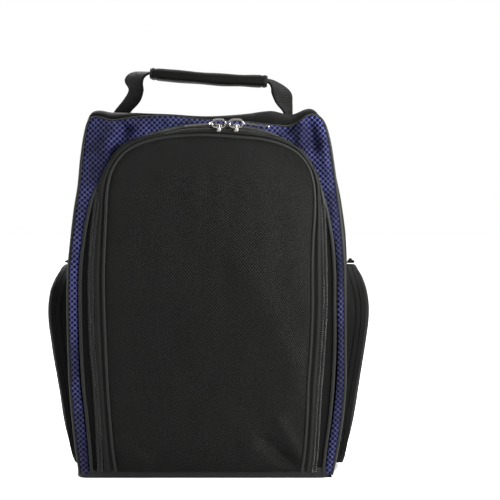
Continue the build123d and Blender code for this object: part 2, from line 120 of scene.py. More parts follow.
# Where the walls stand out furthest
RIDGE = (
    (-128, 1.5), (-132.5, 27), (-135.5, 60), (-137.7, 93), (-139, 130), (-139.5, 170), (-138.7, 207),
    (-137.2, 235), (-133, 265), (-129.2, 288), (-124.5, 315), (-118.2, 349), (-113, 361.7), (-95.5, 361.2),
    (-68.5, 360), (-36.5, 357.7), (-1.5, 356.8), (34.5, 359.4), (62.5, 362.6), (82.5, 359.1), (103, 364),
    (113, 351), (119.8, 331), (123.8, 312), (130.1, 285), (136.3, 249), (138.9, 209), (139.5, 170),
    (139, 130), (138, 93), (135.5, 60), (131, 27), (124, 1.5),
)


# ---------------------------------------------------------------- curves and surfaces


def on_curve(points, t):
    """Point on the smooth curve through some points, with t from 0 to 1 shared evenly by the spans."""
    span = min(max(t, 0.0), 1.0) * (len(points) - 1)
    i = min(int(span), len(points) - 2)
    f = span - i
    a = points[max(i - 1, 0)]
    b = points[i]
    c = points[i + 1]
    d = points[min(i + 2, len(points) - 1)]
    chord = (c - b).length
    leave = (c - a).normalized() * chord
    arrive = (d - b).normalized() * chord
    square, cube = f * f, f * f * f
    return (
        b * (2 * cube - 3 * square + 1) + leave * (cube - 2 * square + f)
        + c * (3 * square - 2 * cube) + arrive * (cube - square)
    )


def looked_up(table):
    """A point function that looks between the points of a fine, even table."""
    count = len(table) - 1

    def at(t):
        place = min(max(t, 0.0), 1.0) * count
        i = min(int(place), count - 1)
        return table[i].lerp(table[i + 1], place - i)

    return at


def tabulated(points, count=2400):
    """A quick point function for the smooth curve through some points."""
    points = [Vector(p) for p in points]
    return looked_up([on_curve(points, i / count) for i in range(count + 1)])


seam, mesh_edge, zip_line, lid_cord, ridge = (
    tabulated(points) for points in (SEAM, MESH_EDGE, ZIP_LINE, LID_CORD, RIDGE)
)


def outward(line, t):
    """Direction away from the front's middle, square to a line."""
    ahead = line(t + 0.003) - line(t - 0.003)
    return Vector((-ahead.y, ahead.x)).normalized()


def smooth(value, low, high):
    """0 below low, 1 above high, and a soft step between."""
    f = min(max((value - low) / (high - low), 0.0), 1.0)
    return f * f * (3 - 2 * f)


def bump(value, middle, width):
    """A soft hump of height 1 around the middle."""
    return math.exp(-(((value - middle) / width) ** 2))


def mix(a, b, f):
    return a + (b - a) * f


def over_top(t):
    """1 along the top of the arch and 0 along its sides."""
    return smooth(t, 0.31, 0.37) * (1 - smooth(t, 0.63, 0.69))


def zip_hidden(t):
    """1 round the shoulders, where the lid's edge laps over the zip."""
    left = smooth(t, 0.255, 0.31) * (1 - smooth(t, 0.415, 0.455))
    right = smooth(t, 0.555, 0.60) * (1 - smooth(t, 0.70, 0.735))
    return max(left, right)


def half_width(z):
    """Half of the body's width at a height."""
    if z < WAIST_HEIGHT:
        return WAIST - (WAIST - BASE_HALF) * ((WAIST_HEIGHT - z) / WAIST_HEIGHT) ** 2
    share = (z - WAIST_HEIGHT) / (SHOULDER_HEIGHT - WAIST_HEIGHT)
    return WAIST - (WAIST - SHOULDER_HALF) * share**2


def back_y(z):
    """Depth of the leaning back at a height."""
    return BACK - BACK_LEAN * z


def seam_roll(t):
    """How far the body's seam lies behind the front's face."""
    return mix(2.4, 6.0, over_top(t))


def soft_noise(point, size, amount):
    """A smooth random push that depends only on the place, in millimetres."""
    return amount * noise.noise(Vector(point) / size)


def wrinkles(point, amount):
    """Soft folds of unpadded cloth."""
    broad = soft_noise(point, 55.0, amount)
    crest = 1 - abs(noise.noise(Vector(point) / 34.0 + Vector((7, 3, 1)))) * 2
    return broad + amount * 0.35 * crest


def even_steps(curve, spacing, samples=900):
    """Values of t that are evenly spaced along a curve."""
    points = [curve(i / samples) for i in range(samples + 1)]
    lengths = [0.0]
    for before, after in zip(points, points[1:]):
        lengths.append(lengths[-1] + (after - before).length)
    count = max(1, round(lengths[-1] / spacing))
    steps = []
    i = 0
    for n in range(count):
        target = (n + 0.5) * lengths[-1] / count
        while lengths[i + 1] < target:
            i += 1
        part = (target - lengths[i]) / (lengths[i + 1] - lengths[i])
        steps.append((i + part) / samples)
    return steps


# ---------------------------------------------------------------- sizes


class ShoeBagSizes(bpy.types.PropertyGroup):
    """Sizes of the bag's cloths, cords and teeth."""

    cloth: FloatProperty(
        name="Cloth", description="Thickness of the outer cloth and the mesh", unit="LENGTH",
        default=0.0014, min=0.0006, max=0.0018,
    )
    lining: FloatProperty(
        name="Lining", description="Thickness of the lining cloth", unit="LENGTH",
        default=0.0006, min=0.0003, max=0.001,
    )
    tape: FloatProperty(
        name="Zip tape", description="Thickness of the zip tapes", unit="LENGTH",
        default=0.0007, min=0.0004, max=0.001,
    )
    webbing: FloatProperty(
        name="Webbing", description="Thickness of the handle's webbing", unit="LENGTH",
        default=0.0021, min=0.001, max=0.0025,
    )
    tooth_spacing: FloatProperty(
        name="Tooth spacing", description="Distance between the zips' teeth", unit="LENGTH",
        default=0.0018, min=0.001, max=0.003,
    )
    stitch_spacing: FloatProperty(
        name="Stitch spacing", description="Distance between stitches", unit="LENGTH",
        default=0.0034, min=0.002, max=0.006,
    )


# ---------------------------------------------------------------- mesh tools


def new_piece(name, bm, material):
    """Turn a bmesh into a named object at the origin."""
    mesh = bpy.data.meshes.new(name)
    for face in bm.faces:
        face.smooth = True
    bm.to_mesh(mesh)
    bm.free()
    mesh.materials.append(MATERIALS[material])
    piece = bpy.data.objects.new(name, mesh)
    bpy.context.scene.collection.objects.link(piece)
    return piece


def laid_grid(across, along, place):
    """A grid whose points are laid on place(u, v), with a UV map in metres."""
    bm = bmesh.new()
    uv = bm.loops.layers.uv.new("UVMap")
    bmesh.ops.create_grid(bm, x_segments=across, y_segments=along, size=0.5, calc_uvs=True)
    middle_u = [Vector(place(i / across, 0.5)) for i in range(across + 1)]
    middle_v = [Vector(place(0.5, i / along)) for i in range(along + 1)]
    width = sum((b - a).length for a, b in zip(middle_u, middle_u[1:])) * MM
    length = sum((b - a).length for a, b in zip(middle_v, middle_v[1:])) * MM
    for face in bm.faces:
        for loop in face.loops:
            co = loop.vert.co
            loop[uv].uv = ((co.x + 0.5) * width, (co.y + 0.5) * length)
    for vert in bm.verts:
        vert.co = Vector(place(vert.co.x + 0.5, vert.co.y + 0.5)) * MM
    return bm


def bag_size(name):
    """One of the bag's sizes, in millimetres."""
    return getattr(bpy.context.scene.shoe_bag_sizes, name) / MM


def sheet_piece(name, across, along, place, material, thickness, held="stretched"):
    """A laid grid thickened to both sides. held, None where the piece is padded and isn't a sheet, is not used.
    """
    bm = laid_grid(across, along, place)
    bmesh.ops.recalc_face_normals(bm, faces=bm.faces)
    area = sum(face.calc_area() for face in bm.faces)
    piece = new_piece(name, bm, material)
    solid = piece.modifiers.new("Thickness", "SOLIDIFY")
    solid.thickness = thickness * MM
    solid.offset = 0
    width, length = flat_size(place)
    held and min(width, length) > NARROWEST_SHEET
    return piece


def flat_size(place, steps=40):
    """Longest line each way over a laid surface, in metres, measured on the shape itself."""

    def longest(line):
        return max(
            sum((line(i + 1, j) - line(i, j)).length for i in range(steps)) for j in range(0, steps + 1, 4)
        )

    width = longest(lambda i, j: Vector(place(i / steps, j / steps)))
    length = longest(lambda i, j: Vector(place(j / steps, i / steps)))
    return width * MM, length * MM


def tube_piece(name, around, along, place, material):
    """A tube: a laid grid whose u direction goes round, joined into a ring and closed at both ends."""
    bm = laid_grid(around, along, place)
    bmesh.ops.remove_doubles(bm, verts=bm.verts, dist=1e-6)
    bmesh.ops.holes_fill(bm, edges=bm.edges, sides=0)
    bmesh.ops.recalc_face_normals(bm, faces=bm.faces)
    return new_piece(name, bm, material)


def swept(curve, side, width, height, power=2.0):
    """place(u, v) for a tube along a curve.

    side(v) gives the section's first axis, width(v) and height(v) its size, and power how square it is.
    """

    def place(u, v):
        centre = curve(v)
        ahead = (curve(min(v + NEAR, 1.0)) - curve(max(v - NEAR, 0.0))).normalized()
        first = Vector(side(v))
        first = (first - ahead * first.dot(ahead)).normalized()
        second = ahead.cross(first)
        angle = 2 * math.pi * u
        c, s = math.cos(angle), math.sin(angle)
        a = math.copysign(abs(c) ** (2 / power), c) * width(v) / 2
        b = math.copysign(abs(s) ** (2 / power), s) * height(v) / 2
        return centre + first * a + second * b

    return place


def cord_piece(name, curve, width, height, material, along=360, around=12, power=2.0, side=(0, 1, 0)):
    """A cord or narrow band along a curve, with sizes that are numbers or change along it."""
    wide = width if callable(width) else lambda v: width
    high = height if callable(height) else lambda v: height
    return tube_piece(name, around, along, swept(curve, lambda v: side, wide, high, power), material)


def row_piece(name, curve, front, across, spacing, size, material, phase=0.0, ends=(0.0, 1.0)):
    """A row of small rounded bits along a curve, such as coil teeth or stitches.

    across gives a bit's first direction and front its outer side. size is its size across, along and out.
    """
    bit = bmesh.new()
    bmesh.ops.create_uvsphere(bit, u_segments=6, v_segments=5, radius=0.5)
    template = bpy.data.meshes.new("bit")
    bit.to_mesh(template)
    bit.free()
    bm = bmesh.new()
    steps = even_steps(curve, spacing)
    for t in steps:
        t = t + phase / len(steps)
        if not ends[0] <= t <= ends[1]:
            continue
        ahead = (curve(min(t + NEAR, 1.0)) - curve(max(t - NEAR, 0.0))).normalized()
        first = Vector(across(t))
        first = (first - ahead * first.dot(ahead)).normalized()
        out = first.cross(ahead)
        if out.dot(Vector(front(t))) < 0:
            first, out = -first, -out
        turn = Matrix((first, ahead, out)).transposed().to_4x4()
        copy = template.copy()
        scale = Matrix.Diagonal((*(s * MM for s in size), 1))
        copy.transform(Matrix.Translation(curve(t) * MM) @ turn @ scale)
        bm.from_mesh(copy)
        bpy.data.meshes.remove(copy)
    bpy.data.meshes.remove(template)
    return new_piece(name, bm, material)


def coons(low, high, left, right):
    """Point function of a patch between four edge curves: low and high take u, left and right take v."""
    low_left, low_right, high_left, high_right = low(0), low(1), high(0), high(1)

    def point(u, v):
        across = mix(left(v), right(v), u)
        upward = mix(low(u), high(u), v)
        corners = mix(mix(low_left, low_right, u), mix(high_left, high_right, u), v)
        return across + upward - corners

    return point


# Where an arch turns its top left corner, with t from 0 to 1
CORNER_T = 11.7 / 32


def outline_patch(edge):
    """Patch inside an arch-shaped edge curve that runs from the left foot to the right foot."""
    return coons(
        lambda u: mix(edge(0), edge(1), u),
        lambda u: edge(mix(CORNER_T, 1 - CORNER_T, u)),
        lambda v: edge(v * CORNER_T),
        lambda v: edge(1 - v * CORNER_T),
    )


def inset_line(line, inset, count=800):
    """A quick point function for a line moved towards the front's middle."""
    return looked_up([line(i / count) - outward(line, i / count) * inset for i in range(count + 1)])


def ride_all(body, *pieces):
    for piece in pieces:
        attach(piece, body)


# ---------------------------------------------------------------- shader groups

MATERIALS = {}


def node(tree, kind, inputs=None, **settings):
    """Add a node, set it, and fill its sockets with values or links."""
    made = tree.nodes.new(kind)
    for key, value in settings.items():
        setattr(made, key, value)
    for key, value in (inputs or {}).items():
        if isinstance(value, bpy.types.NodeSocket):
            tree.links.new(value, made.inputs[key])
        else:
            made.inputs[key].default_value = value
    return made


def calculate(tree, operation, a, b=0.0, c=0.0):
    """The result socket of a Math node."""
    return node(tree, "ShaderNodeMath", {0: a, 1: b, 2: c}, operation=operation).outputs[0]


def shader_group(name, sockets, outputs):
    """An empty shader node group with named float or vector inputs and float outputs."""
    tree = bpy.data.node_groups.new(name, "ShaderNodeTree")
    for socket, default in sockets.items():
        kind = "NodeSocketVector" if default is None else "NodeSocketFloat"
        made = tree.interface.new_socket(socket, in_out="INPUT", socket_type=kind)
        if default is not None:
            made.default_value = default
    for socket in outputs:
        tree.interface.new_socket(socket, in_out="OUTPUT", socket_type="NodeSocketFloat")
    return tree, tree.nodes.new("NodeGroupInput").outputs, tree.nodes.new("NodeGroupOutput").inputs


def make_weave_group():
    """Plain weave: threads that pass over and under each other, and a few thicker slubs."""
    tree, given, result = shader_group(
        "plain_weave", {"Vector": None, "Pitch": 0.001, "Slub": 0.3}, ("Height", "Shade"),
    )
    split = node(tree, "ShaderNodeSeparateXYZ", {0: given["Vector"]})
    waves = []
    for axis in ("X", "Y"):
        turns = calculate(tree, "DIVIDE", split.outputs[axis], given["Pitch"])
        waves.append(calculate(tree, "SINE", calculate(tree, "MULTIPLY", turns, math.pi)))
    cross = calculate(tree, "MULTIPLY", waves[0], waves[1])
    scale = calculate(tree, "DIVIDE", 0.12, given["Pitch"])
    stretch = node(tree, "ShaderNodeMapping", {"Vector": given["Vector"], "Scale": (1, 0.15, 1)})
    slubs = node(tree, "ShaderNodeTexNoise", {"Vector": stretch.outputs[0], "Scale": scale, "Detail": 2})
    uneven = calculate(tree, "MULTIPLY", calculate(tree, "SUBTRACT", slubs.outputs[0], 0.5), given["Slub"])
    height = calculate(tree, "MULTIPLY_ADD", cross, 0.5, calculate(tree, "ADD", uneven, 0.5))
    tree.links.new(height, result["Height"])
    tree.links.new(
        calculate(tree, "MULTIPLY_ADD", cross, 0.35, calculate(tree, "ADD", uneven, 0.6)), result["Shade"],
    )
    return tree


def make_cell_group():
    """Spacer mesh: a lattice of round open cells between raised threads, set at 45 degrees."""
    tree, given, result = shader_group("mesh_cells", {"Vector": None, "Pitch": 0.0035}, ("Hole", "Height"))
    turned = node(tree, "ShaderNodeMapping", {"Vector": given["Vector"], "Rotation": (0, 0, math.pi / 4)})
    scale = calculate(tree, "DIVIDE", 1.0, given["Pitch"])
    cells = node(
        tree, "ShaderNodeTexVoronoi",
        {"Vector": turned.outputs[0], "Scale": scale, "Randomness": 0.0},
        voronoi_dimensions="2D",
    )
    hole = node(
        tree, "ShaderNodeMapRange", {0: cells.outputs["Distance"], 1: 0.56, 2: 0.26},
        interpolation_type="SMOOTHSTEP",
    )
    rim = node(
        tree, "ShaderNodeMapRange", {0: cells.outputs["Distance"], 1: 0.15, 2: 0.62},
        interpolation_type="SMOOTHSTEP",
    )
    tree.links.new(hole.outputs[0], result["Hole"])
    tree.links.new(rim.outputs[0], result["Height"])
    return tree


def make_rib_group():
    """Ribs across or along a tape, with fine filaments."""
    tree, given, result = shader_group("ribs", {"Vector": None, "Pitch": 0.001, "Filament": 0.2}, ("Height",))
    split = node(tree, "ShaderNodeSeparateXYZ", {0: given["Vector"]})
    turns = calculate(tree, "DIVIDE", split.outputs["Y"], given["Pitch"])
    wave = calculate(tree, "ABSOLUTE", calculate(tree, "SINE", calculate(tree, "MULTIPLY", turns, math.pi)))
    fine = node(tree, "ShaderNodeTexNoise", {"Vector": given["Vector"], "Scale": 2600.0, "Detail": 1})
    tree.links.new(
        calculate(tree, "MULTIPLY_ADD", fine.outputs[0], given["Filament"], wave), result["Height"],
    )
    return tree


def make_dust_group():
    """Broad uneven tone and faint lint over an object."""
    tree, given, result = shader_group(
        "lint", {"Vector": None, "Broad": 9.0, "Fine": 420.0}, ("Tone", "Lint"),
    )
    broad = node(
        tree, "ShaderNodeTexNoise", {"Vector": given["Vector"], "Scale": given["Broad"], "Detail": 4},
    )
    fine = node(tree, "ShaderNodeTexNoise", {"Vector": given["Vector"], "Scale": given["Fine"], "Detail": 3})
    specks = node(tree, "ShaderNodeMapRange", {0: fine.outputs[0], 1: 0.62, 2: 0.8})
    tree.links.new(broad.outputs[0], result["Tone"])
    tree.links.new(specks.outputs[0], result["Lint"])
    return tree


def use_group(tree, group, inputs):
    """The output sockets of a node group, with its inputs filled."""
    return node(tree, "ShaderNodeGroup", inputs, node_tree=group).outputs


def blank_material(name, roughness, sheen=0.0, metallic=0.0, specular=0.5):
    """A material with a Principled shader and its texture coordinates."""
    material = bpy.data.materials.new(name)
    material.use_nodes = True
    tree = material.node_tree
    shader = tree.nodes["Principled BSDF"]
    shader.inputs["Roughness"].default_value = roughness
    shader.inputs["Metallic"].default_value = metallic
    shader.inputs["Specular IOR Level"].default_value = specular
    shader.inputs["Sheen Weight"].default_value = sheen
    shader.inputs["Sheen Roughness"].default_value = 0.45
    where = tree.nodes.new("ShaderNodeTexCoord").outputs
    MATERIALS[name] = material
    return tree, shader, where


def tinted(tree, shader, mask, dark, light):
    """Base colour that runs from dark to light with a mask."""
    colour = node(tree, "ShaderNodeMix", {0: mask, 6: (*dark, 1), 7: (*light, 1)}, data_type="RGBA")
    tree.links.new(colour.outputs[2], shader.inputs["Base Color"])


def raised(tree, shader, height, distance, strength=1.0, before=None):
    """Bump from a height."""
    made = node(tree, "ShaderNodeBump", {"Height": height, "Distance": distance, "Strength": strength})
    if before is not None:
        tree.links.new(before, made.inputs["Normal"])
    tree.links.new(made.outputs[0], shader.inputs["Normal"])
    return made.outputs[0]


def scaled(colour, factor):
    return tuple(channel * factor for channel in colour)


def make_woven(
    name, colour, pitch, roughness, sheen, weave, lint, bump=0.0003, slub=0.3, low=0.55, high=1.5,
    specular=0.12,
):
    """Woven cloth that follows the piece's own UV map."""
    tree, shader, where = blank_material(name, roughness, sheen, specular=specular)
    cloth = use_group(tree, weave, {"Vector": where["UV"], "Pitch": pitch, "Slub": slub})
    specks = use_group(tree, lint, {"Vector": where["Object"]})
    mask = calculate(
        tree, "MULTIPLY_ADD", specks["Tone"], 0.5, calculate(tree, "MULTIPLY", cloth["Shade"], 0.55),
    )
    tinted(
        tree, shader, calculate(tree, "MULTIPLY_ADD", specks["Lint"], 0.35, mask), scaled(colour, low),
        scaled(colour, high),
    )
    soft = raised(tree, shader, specks["Tone"], 0.002, 0.5)
    raised(tree, shader, cloth["Height"], bump, 0.8, soft)


def make_mesh_material(colours, cells, weave, lint):
    """Purple spacer mesh with dark open cells, with painted light on its left strip and painted shade on its
    right.
    """
    tree, shader, where = blank_material("purple_mesh", 0.4, 0.0, specular=0.12)
    flat = node(
        tree, "ShaderNodeMapping", {"Vector": where["Object"], "Rotation": (-math.pi / 2, 0, 0)},
    ).outputs[0]
    lattice = use_group(tree, cells, {"Vector": flat, "Pitch": 0.0037})
    thread = use_group(tree, weave, {"Vector": flat, "Pitch": 0.0006, "Slub": 0.5})
    specks = use_group(tree, lint, {"Vector": where["Object"], "Broad": 22.0})
    patches = node(tree, "ShaderNodeMapRange", {0: specks["Tone"], 1: 0.38, 2: 0.66, 3: 0.35, 4: 1.6})
    light = calculate(tree, "MULTIPLY", calculate(tree, "SUBTRACT", 1.0, lattice["Hole"]), patches.outputs[0])
    place = node(tree, "ShaderNodeSeparateXYZ", {0: where["Object"]})
    # Painted light and shade: the colour is made up to 1.6 times paler on the left strip and down to 0.4 times
    # darker on the right strip, by X alone, standing in for how the light falls there
    painted_right_shade = node(tree, "ShaderNodeMapRange", {0: place.outputs["X"], 1: 0.108, 2: 0.130, 3: 1.0, 4: 0.4})
    painted_left_light = node(tree, "ShaderNodeMapRange", {0: place.outputs["X"], 1: -0.134, 2: -0.105, 3: 1.6, 4: 1.0})
    painted_side_light_and_shade = calculate(tree, "MULTIPLY", painted_right_shade.outputs[0], painted_left_light.outputs[0])
    shade = calculate(tree, "MULTIPLY", calculate(tree, "ADD", thread["Shade"], 0.15), painted_side_light_and_shade)
    tinted(tree, shader, calculate(tree, "MULTIPLY", light, shade), *colours)
    rough = node(tree, "ShaderNodeMapRange", {0: lattice["Height"], 3: 0.85, 4: 0.36})
    tree.links.new(rough.outputs[0], shader.inputs["Roughness"])
    first = raised(tree, shader, lattice["Height"], 0.0011, 1.0)
    raised(tree, shader, thread["Height"], 0.00015, 0.6, first)


def make_ribbed(name, colour, pitch, roughness, sheen, ribs, lint, bump, low=0.5, high=1.5):
    """Ribbed tape or webbing, with the ribs across its length."""
    tree, shader, where = blank_material(name, roughness, sheen, specular=0.08)
    rows = use_group(tree, ribs, {"Vector": where["UV"], "Pitch": pitch})
    specks = use_group(tree, lint, {"Vector": where["Object"]})
    mask = calculate(tree, "MULTIPLY", rows["Height"], calculate(tree, "ADD", specks["Tone"], 0.3))
    tinted(tree, shader, mask, scaled(colour, low), scaled(colour, high))
    raised(tree, shader, rows["Height"], bump, 0.9)


def make_metal(name, colour, roughness, metallic, lint, specular=0.25):
    """Plated or painted metal with faint scratches and finger marks."""
    tree, shader, where = blank_material(name, roughness, metallic=metallic, specular=specular)
    marks = use_group(tree, lint, {"Vector": where["Object"], "Broad": 160.0, "Fine": 900.0})
    tinted(tree, shader, marks["Tone"], scaled(colour, 0.8), colour)
    rough = node(tree, "ShaderNodeMapRange", {0: marks["Tone"], 3: roughness * 0.7, 4: roughness * 1.5})
    tree.links.new(rough.outputs[0], shader.inputs["Roughness"])
    raised(tree, shader, marks["Lint"], 0.00005, 0.5)


def make_plain(name, colour, roughness, lint, sheen=0.0, bump=0.0002, specular=0.25):
    """Plastic, foam, board or thread with an uneven tone."""
    tree, shader, where = blank_material(name, roughness, sheen, specular=specular)
    specks = use_group(tree, lint, {"Vector": where["Object"], "Broad": 60.0})
    tinted(tree, shader, specks["Tone"], scaled(colour, 0.6), scaled(colour, 1.4))
    raised(tree, shader, specks["Tone"], bump, 0.6)


class ShoeBagColours(bpy.types.PropertyGroup):
    """Colours of the bag's cloths and metals."""

    cloth: FloatVectorProperty(
        name="Cloth", description="Black polyester of the lid, sides and back", subtype="COLOR",
        default=(0.0050, 0.0053, 0.0047), min=0, max=1,
    )
    mesh_thread: FloatVectorProperty(
        name="Mesh thread", description="Purple threads of the front's mesh", subtype="COLOR",
        default=(0.058, 0.062, 0.200), min=0, max=1,
    )
    mesh_hole: FloatVectorProperty(
        name="Mesh cells", description="Dark cells of the front's mesh", subtype="COLOR",
        default=(0.0012, 0.0014, 0.0080), min=0, max=1,
    )
    trim: FloatVectorProperty(
        name="Trim", description="Bindings and pipings", subtype="COLOR",
        default=(0.0150, 0.0158, 0.0145), min=0, max=1,
    )
    metal: FloatVectorProperty(
        name="Metal", description="Plated sliders and pulls", subtype="COLOR",
        default=(0.46, 0.45, 0.42), min=0, max=1,
    )


class SHOEBAG_OT_materials(bpy.types.Operator):
    """Make the cloth, mesh, tape, plastic and metal materials"""

    bl_idname = "shoebag.materials"
    bl_label = "Materials"

    def execute(self, context):
        colours = context.scene.shoe_bag_colours
        weave, cells, ribs, lint = make_weave_group(), make_cell_group(), make_rib_group(), make_dust_group()
        cloth, trim = tuple(colours.cloth), tuple(colours.trim)
        make_woven("black_cloth", cloth, 0.0012, 0.65, 0.0, weave, lint, specular=0.05)
        make_woven(
            "lid_cloth", cloth, 0.00135, 0.42, 0.0, weave, lint, 0.0007, low=0.4, high=2.0, specular=0.08,
        )
        make_woven("grip_cloth", scaled(cloth, 1.1), 0.0011, 0.5, 0.0, weave, lint, 0.0003, specular=0.06)
        make_woven("strip_cloth", scaled(trim, 0.8), 0.0011, 0.6, 0.0, weave, lint, 0.0003, specular=0.08)
        make_woven("lining", scaled(cloth, 1.3), 0.0006, 0.6, 0.03, weave, lint, 0.00015)
        make_mesh_material((tuple(colours.mesh_hole), tuple(colours.mesh_thread)), cells, weave, lint)
        make_woven("binding", trim, 0.0007, 0.45, 0.02, weave, lint, 0.0002, specular=0.15)
        make_ribbed("zip_tape", scaled(trim, 0.3), 0.0008, 0.8, 0.02, ribs, lint, 0.0002)
        make_ribbed("webbing", cloth, 0.0016, 0.6, 0.01, ribs, lint, 0.0006)
        make_plain("zip_coil", scaled(trim, 1.9), 0.22, lint, specular=0.8)
        make_plain("board", trim, 0.7, lint)
        make_plain("foam", trim, 0.9, lint)
        make_plain("thread", scaled(trim, 1.3), 0.5, lint, sheen=0.1)
        make_metal("nickel", tuple(colours.metal), 0.14, 1.0, lint)
        make_metal("black_metal", scaled(cloth, 0.8), 0.85, 0.0, lint, 0.05)
        return {"FINISHED"}


# ---------------------------------------------------------------- body shell


def back_line(t):
    """Seam round the back: the ridge made even and a little smaller."""
    one, other = ridge(t), ridge(1 - t)
    return Vector(((one.x - other.x) * 0.4925, min((one.y + other.y) / 2, 352.5)))


def wall_point(t, w, inset=0.0):
    """Point of the wall round the sides and top: t along the seam, w from the front to the back."""
    out = outward(seam, t)
    p = seam(t) + out * (1.4 - inset)
    front = Vector((p.x, FRONT + seam_roll(t) + 1.2, p.y))
    b = back_line(t) - out * inset
    back = Vector((b.x, back_y(b.y) - 1.0, b.y))
    top = over_top(t)
    peak = mix(0.42, 0.30, top)
    hump = math.sin(math.pi * w ** (math.log(0.5) / math.log(peak)))
    r = ridge(t) - out * inset
    between = mix(front, back, peak)
    place = mix(front, back, w) + Vector((r.x - between.x, 0, r.y - between.z)) * hump
    push = wrinkles((place.x, place.y, place.z), 1.7) * math.sin(math.pi * w) * (1 - 0.5 * top)
    return place + Vector((out.x, 0, out.y)) * push


def back_point_on(patch, forward=0.0):
    """Point function of the leaning back, softly filled out."""

    def place(u, v):
        p = patch(u, v)
        swell = 3.0 * (1 - (2 * u - 1) ** 4) * (1 - (2 * v - 1) ** 6)
        rim = 1 - max(abs(2 * u - 1), abs(2 * v - 1)) ** 12
        y = back_y(p.y) - 1.0 + swell + wrinkles((p.x, 0, p.y), 1.6) * rim - forward
        return Vector((p.x, y, p.y))

    return place


class SHOEBAG_OT_shell(bpy.types.Operator):
    """Make the soft walls, back, base and hem of the body"""

    bl_idname = "shoebag.shell"
    bl_label = "Body shell"

    def execute(self, context):
        walls = sheet_piece(
            "side_and_top_cloth", 28, 300, lambda u, v: wall_point(v, u), "black_cloth", bag_size("cloth"),
        )
        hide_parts("left_side_panel", "right_side_panel", "top_panel")
        back = sheet_piece(
            "back_cloth", 60, 80, back_point_on(outline_patch(back_line)), "black_cloth",
            bag_size("cloth"), None,
        )
        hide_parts("back_panel", "back_foam")
        base = sheet_piece("base_cloth", 40, 24, self.base_point, "black_cloth", bag_size("cloth"))
        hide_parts("base_panel")
        hem_row = row_piece(
            "hem_stitches", self.hem_row, lambda t: (0, -1, 0), lambda t: (0, 0, 1),
            bag_size("stitch_spacing"), STITCH,
            "thread",
        )
        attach(hem_row, "bag")
        hem = cord_piece(
            "front_hem", self.hem_line, lambda v: self.hem_edges(v)[1] - self.hem_edges(v)[0],
            CORD, "binding", 150, 24, 5, side=(0, 0, 1),
        )
        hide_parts("front_hem_band")
        front_cord = cord_piece(
            "front_seam_piping", self.front_line, CORD, lambda v: mix(CORD, 1.8, over_top(v)), "binding",
        )
        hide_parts("front_piping")
        back_cord = cord_piece("back_seam_piping", self.back_seam, CORD, CORD, "binding")
        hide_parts("back_piping")
        ride_all("bag", walls, back, base, hem, front_cord, back_cord)
        return {"FINISHED"}

    @staticmethod
    def base_point(u, v):
        x = mix(-126, 122.5, u)
        y = mix(FRONT + 1.5, BACK - 1.5, v)
        return Vector((x, y, 1.1 + 0.5 * math.sin(math.pi * u) * math.sin(math.pi * v)))

    @staticmethod
    def hem_edges(v):
        """Lowest and highest Z of the hem along the front."""
        x = mix(-128, 121.8, v)
        high = 12.4 - 4.4 * smooth(-x, 55, 118) - 2.0 * smooth(x, 55, 116) + 0.25 * math.sin(x / 13)
        return 0.2 + 2.2 * smooth(x, 112, 122), high

    @classmethod
    def hem_row(cls, v):
        share = mix(0.05, 0.93, v)
        line = cls.hem_line(share)
        return Vector((line.x, line.y - 1.75, cls.hem_edges(share)[1] - 1.7))

    @classmethod
    def hem_line(cls, v):
        low, high = cls.hem_edges(v)
        x = mix(-128, 121.8, v)
        wrap = max(0.0, -x - 121, x - 115)
        return Vector((x, FRONT + 0.5 + 0.16 * wrap**2, (low + high) / 2))

    @staticmethod
    def front_line(v):
        p = seam(v) + outward(seam, v) * mix(1.5, 0.6, over_top(v))
        return Vector((p.x, FRONT + seam_roll(v) + 0.6, p.y))

    @staticmethod
    def back_seam(v):
        p = back_line(v)
        return Vector((p.x, back_y(p.y), p.y))


class SHOEBAG_OT_inside(bpy.types.Operator):
    """Make the lining and the stiffener board inside the body"""

    bl_idname = "shoebag.inside"
    bl_label = "Inside"

    def execute(self, context):
        lining = sheet_piece(
            "wall_lining", 20, 200, lambda u, v: wall_point(v, mix(0.04, 0.93, u), 3.0),
            "lining", bag_size("lining"),
        )
        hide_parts("interior_lining")
        patch = outline_patch(inset_line(back_line, 3.2))
        back = sheet_piece(
            "back_lining_cloth", 40, 50, back_point_on(patch, 7.0), "lining", bag_size("lining"),
        )
        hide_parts("back_lining")
        show_cad("base_board", "board")
        ride_all("bag", lining, back)
        return {"FINISHED"}


# ---------------------------------------------------------------- front frame and lid

# Sharp folds in the mesh near the top corners: two ends, half width and height
FOLDS = (
    (Vector((-76, 351)), Vector((-95, 313)), 8.0, -7.0),
    (Vector((-88, 353)), Vector((-104, 313)), 5.0, 3.4),
    (Vector((92.5, 356)), Vector((90.5, 325)), 4.5, 4.6),
    (Vector((100, 356)), Vector((106, 316)), 5.5, -5.0),
    (Vector((86, 352)), Vector((75, 338)), 6.0, -5.0),
    (Vector((112, 350)), Vector((118, 300)), 4.5, 2.6),
    (Vector((-40, 352)), Vector((-62, 342)), 5.0, -2.0),
)


def ridges(here, folds):
    """Heights of folds at a place, each a soft ridge between two ends, with how far along the fold it is."""
    for start, end, width, height in folds:
        along = end - start
        part = min(max((here - start).dot(along) / along.length_squared, 0.0), 1.0)
        yield height * bump((here - start - along * part).length, 0, width), part


def fold_height(x, z):
    """Height of the sharp folds in the mesh, which fade towards both ends."""
    total = 0.0
    for height, part in ridges(Vector((x, z)), FOLDS):
        total += height * (smooth(part, 0.0, 0.12) * (1 - smooth(part, 0.75, 1.0)))
    return total


def yoke_point(u, v):
    """Point of the mesh frame: u from the zip to the body's seam, v along the arch."""
    p = mix(mesh_edge(v), seam(v), u)
    puff = 1.2 * math.sin(math.pi * u) + 0.5 * wrinkles((p.x, 3, p.y), 1.6) * math.sin(math.pi * u)
    y = FRONT + seam_roll(v) * u**1.5
    return Vector((p.x, y - puff - fold_height(p.x, p.y) * math.sin(math.pi * min(1, 0.15 + 0.7 * u)), p.y))


